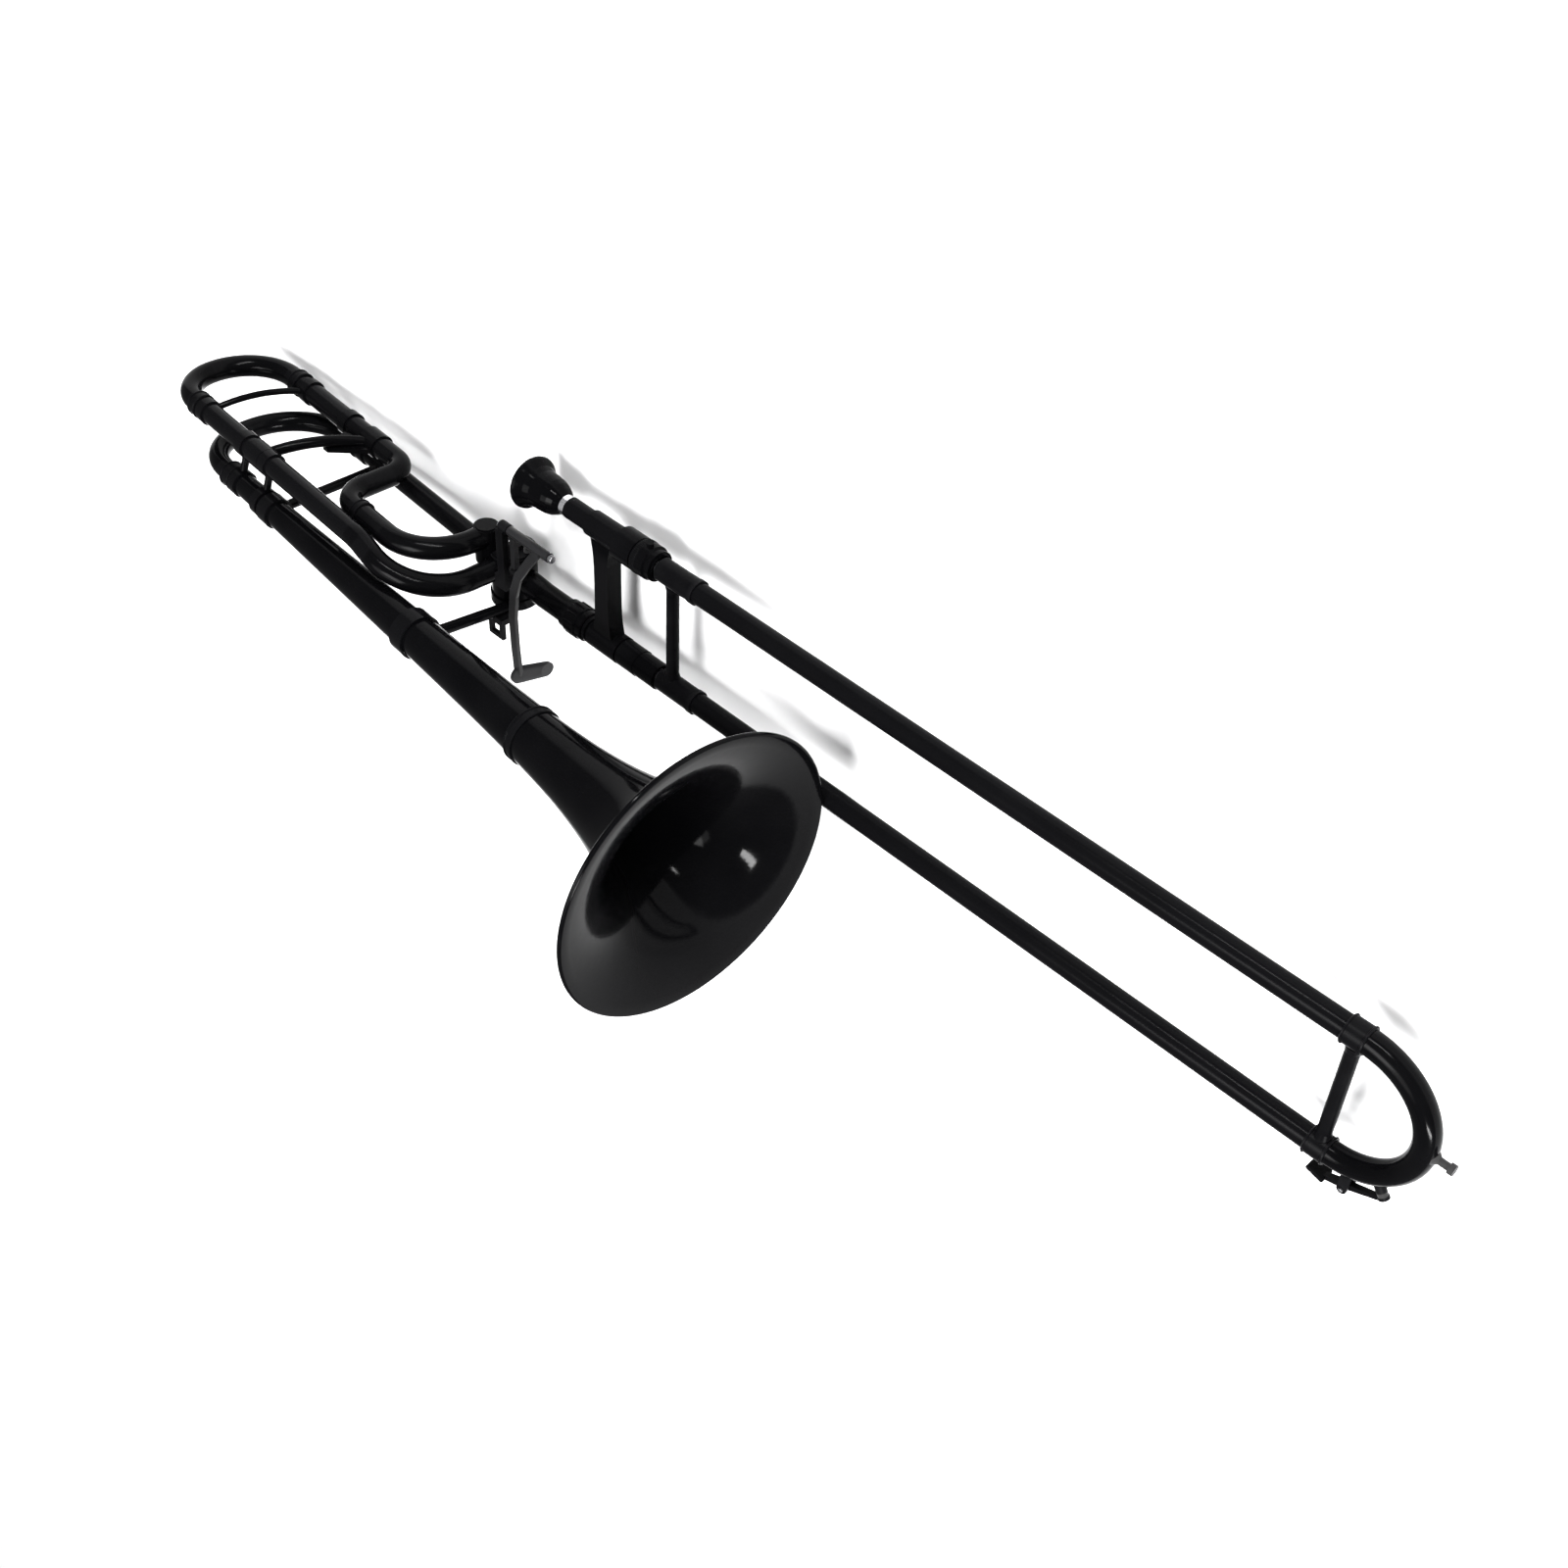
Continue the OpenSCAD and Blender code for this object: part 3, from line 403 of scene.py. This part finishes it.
def bell_stations():
    """Distances back from the rim, close together near it, to the stem's rear end."""
    stem_low, stem_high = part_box("bell_stem")
    stem_end = THROAT + (stem_high[0] - stem_low[0]) / math.cos(LEAN)
    stem_end -= horn(THROAT) * math.sin(LEAN)
    flare = [THROAT * (i / FLARE_STEPS) ** 2 for i in range(FIRST_FLARE_STEP, FLARE_STEPS + 1)]
    stem = [THROAT + (stem_end - THROAT) * i / STEM_STEPS for i in range(1, STEM_STEPS + 1)]
    return flare + stem


def outer_point(back, least):
    """A point of the outer wall; in the flare it is a wall's thickness behind the inner one."""
    behind = WALL * math.sin(horn_turn(back)) if back < THROAT else 0
    return max(horn(back), least), -back - behind


def inner_point(back):
    return max(horn(back) - WALL * math.cos(horn_turn(back)), STEM_BORE), -back


def make_bell():
    """The bell as one smooth spun shell, rolled bead and stem included."""
    leg_low, leg_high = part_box("neck_leg")
    leg_radius = (leg_high[1] - leg_low[1]) / 2
    stations = bell_stations()
    outer = [outer_point(back, leg_radius) for back in stations]
    inner = [inner_point(back) for back in reversed(stations)]
    bead_angles = [math.radians(t) for t in range(90, -90 - BEAD_STEP // 2, -BEAD_STEP)]
    bead = [(bell_radius - BEAD * (1 - math.cos(a)), BEAD * (math.sin(a) - 1))
            for a in bead_angles]
    place = (Matrix.Translation(rim_centre) @ Matrix.Rotation(-LEAN, 4, "Y")
             @ axis_turn(X_AXIS))
    bm = bmesh.new()
    lathe(bm, outer + inner + bead, place, ROUND_STEPS)
    made = add_piece("bell_shell", bm, "bell_section", bell_black)
    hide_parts("bell_flare", "bell_stem")


make_bell()


# ---------- screws ----------

# The head's profile and slot, as shares of its radius and height
HEAD_PROFILE = ((1.0, 0.0), (1.0, 0.55), (0.93, 0.82), (0.7, 0.96))
SLOT_HALF = 0.13
SLOT_FLOOR = 0.5
FLOOR_REACH = 0.985
FLOOR_OVERLAP = 1.02
HEAD_STEPS = 40
HEAD_SPLIT = 40
BLOCK_FACES = ((0, 1, 2, 3), (4, 5, 6, 7), (0, 1, 5, 4), (1, 2, 6, 5), (2, 3, 7, 6),
               (3, 0, 4, 7))

# Name, node it sits on, axis it faces, sink, radius, height, body, turn of its slot
SCREWS = (
    ("spindle_screw", "rotor", Y_AXIS, 0.2 * MM, 2.3 * MM, 1.3 * MM, "valve_rotor", 0.6),
    ("hinge_screw", "lever_pin", X_AXIS, 0.1 * MM, 2.6 * MM, 1.1 * MM, "bell_section", 1.9),
    ("key_screw", "water_key_pin", Z_AXIS, 0.1 * MM, 1.5 * MM, 0.8 * MM, "outer_slide", 0.3),
)


def half_head(bm, place, radius, height, side):
    """One half of a screw's head, on one side (-1 or 1) of its slot."""
    half = radius * SLOT_HALF
    start = math.asin(SLOT_HALF)
    angles = [side * (start + (math.pi - 2 * start) * i / HEAD_STEPS)
              for i in range(HEAD_STEPS + 1)]
    loops = []
    for wide, tall in HEAD_PROFILE:
        r = radius * wide
        loops.append([bm.verts.new(place @ Vector((
            r * math.cos(a), max(abs(r * math.sin(a)), half) * side, height * tall)))
            for a in angles])
    for one, two in zip(loops, loops[1:]):
        for j in range(HEAD_STEPS):
            bm.faces.new((one[j], one[j + 1], two[j + 1], two[j]))
        bm.faces.new((one[0], two[0], two[-1], one[-1]))
    bm.faces.new(loops[-1])
    bm.faces.new(loops[0])


def slot_floor(bm, place, radius, height):
    """The block between the two halves, up to the slot's floor."""
    x = radius * FLOOR_REACH
    y = radius * SLOT_HALF * FLOOR_OVERLAP
    corners = [bm.verts.new(place @ Vector((*corner, z)))
               for z in (0.0, height * SLOT_FLOOR)
               for corner in ((x, -y), (-x, -y), (-x, y), (x, y))]
    for quad in BLOCK_FACES:
        bm.faces.new([corners[i] for i in quad])


def make_screws():
    """A slotted head on one end of the rotor's spindle and of each of the two hinge pins."""
    for name, node, axis, sink, radius, height, body, slot_turn in SCREWS:
        along = axis.index(1)
        point = centre(node)
        point[along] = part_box(node)[1][along] - sink
        place = facing(point, axis) @ Matrix.Rotation(slot_turn, 4, "Z")
        bm = bmesh.new()
        half_head(bm, place, radius, height, -1)
        half_head(bm, place, radius, height, 1)
        slot_floor(bm, place, radius, height)
        soften(add_piece(name, bm, body, steel), HEAD_SPLIT)


make_screws()


# ---------- knurling on the slide lock ring ----------

KNURL_IN = 3.6 * MM
KNURL_RADIUS = 12.5 * MM
KNURL_LENGTH = 4.6 * MM
RIB_COUNT = 56
RIB_HEIGHT = 0.45 * MM
RIB_SHARE = 0.62
RIB_ROOT = 0.15 * MM
RIB_END_HEIGHT = 0.25
RIB_SPLIT = 50


def make_knurl():
    """Rounded ribs side by side round the ring, lower at their ends."""
    ring_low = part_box("slide_lock_ring")[0]
    tube = centre("inner_tube_upper")
    place = facing((ring_low[0] + KNURL_IN, tube.y, tube.z), X_AXIS)
    width = 2 * math.pi * KNURL_RADIUS / RIB_COUNT * RIB_SHARE
    crest = [(-width / 2, 0.0), (-width / 3, RIB_HEIGHT * 0.75), (0.0, RIB_HEIGHT),
             (width / 3, RIB_HEIGHT * 0.75), (width / 2, 0.0)]
    half = KNURL_LENGTH / 2
    sections = ((-half, RIB_END_HEIGHT), (-half + RIB_HEIGHT, 1.0),
                (half - RIB_HEIGHT, 1.0), (half, RIB_END_HEIGHT))
    bm = bmesh.new()
    for i in range(RIB_COUNT):
        spin = place @ Matrix.Rotation(2 * math.pi * i / RIB_COUNT, 4, "Z")
        loops = []
        for z, grow in sections:
            top = [Vector((KNURL_RADIUS + h * grow, w, z)) for w, h in crest]
            root = [Vector((KNURL_RADIUS - RIB_ROOT, w, z)) for w in (width / 2, -width / 2)]
            loops.append([bm.verts.new(spin @ v) for v in top + root])
        for one, two in zip(loops, loops[1:]):
            band(bm, one, two)
        bm.faces.new(loops[0])
        bm.faces.new(loops[-1])
    made = add_piece("lock_ring_knurl", bm, "slide_lock_ring", ring_black)
    soften(made, RIB_SPLIT)


make_knurl()


# ---------- room and light ----------

FLOOR_SIZE = 40.0
WORLD_STRENGTH = 0.4
SKY_STRENGTH = 2.2
SKY_SPREAD = 40

# Name, place from the object's middle, width and height in metres, power in watts
LAMPS = (
    ("top softbox", (0.2, 0.3, 2.2), (1.1, 0.9), 60),
    ("front strip", (2.0, -0.6, 1.0), (0.2, 0.7), 70),
    ("side strip", (0.3, 2.4, 0.9), (1.6, 0.12), 70),
)


def make_floor():
    bm = bmesh.new()
    bmesh.ops.create_grid(bm, x_segments=1, y_segments=1, size=FLOOR_SIZE)
    floor = bpy.data.objects.new("floor", mesh_of(bm, "floor"))
    bpy.context.scene.collection.objects.link(floor)
    s = Shader("floor", 0.9, specular=0.1)
    paper = s.noise(3, 2)
    tint = s.colour(paper, PAPER_DARK, PAPER_LIGHT)
    floor.data.materials.append(
        s.finish(tint, s.remap(paper, 0.2, 0.8, 0.88, 0.94), s.bump(paper, 0.02, 0.001)))


def make_world():
    world = bpy.data.worlds.new("studio")
    world.use_nodes = True
    back = world.node_tree.nodes["Background"]
    back.inputs["Color"].default_value = (1.0, 1.0, 1.0, 1)
    back.inputs["Strength"].default_value = WORLD_STRENGTH
    bpy.context.scene.world = world


def make_lamps():
    middle = (Vector(cad_box[0]) + Vector(cad_box[1])) / 2
    for name, offset, size, power in LAMPS:
        data = bpy.data.lights.new(name, "AREA")
        data.shape = "RECTANGLE"
        data.size, data.size_y = size
        data.energy = power
        lamp = bpy.data.objects.new(name, data)
        place = middle + Vector(offset)
        aim = (middle - place).to_track_quat("-Z", "Y")
        lamp.matrix_world = Matrix.Translation(place) @ aim.to_matrix().to_4x4()
        bpy.context.scene.collection.objects.link(lamp)


def make_sky():
    """Even light from straight above, so that the floor is as pale far away as near."""
    data = bpy.data.lights.new("sky", "SUN")
    data.energy = SKY_STRENGTH
    data.angle = math.radians(SKY_SPREAD)
    bpy.context.scene.collection.objects.link(bpy.data.objects.new("sky", data))


make_floor()
make_world()
make_lamps()
make_sky()
bpy.context.scene.view_settings.view_transform = "Standard"
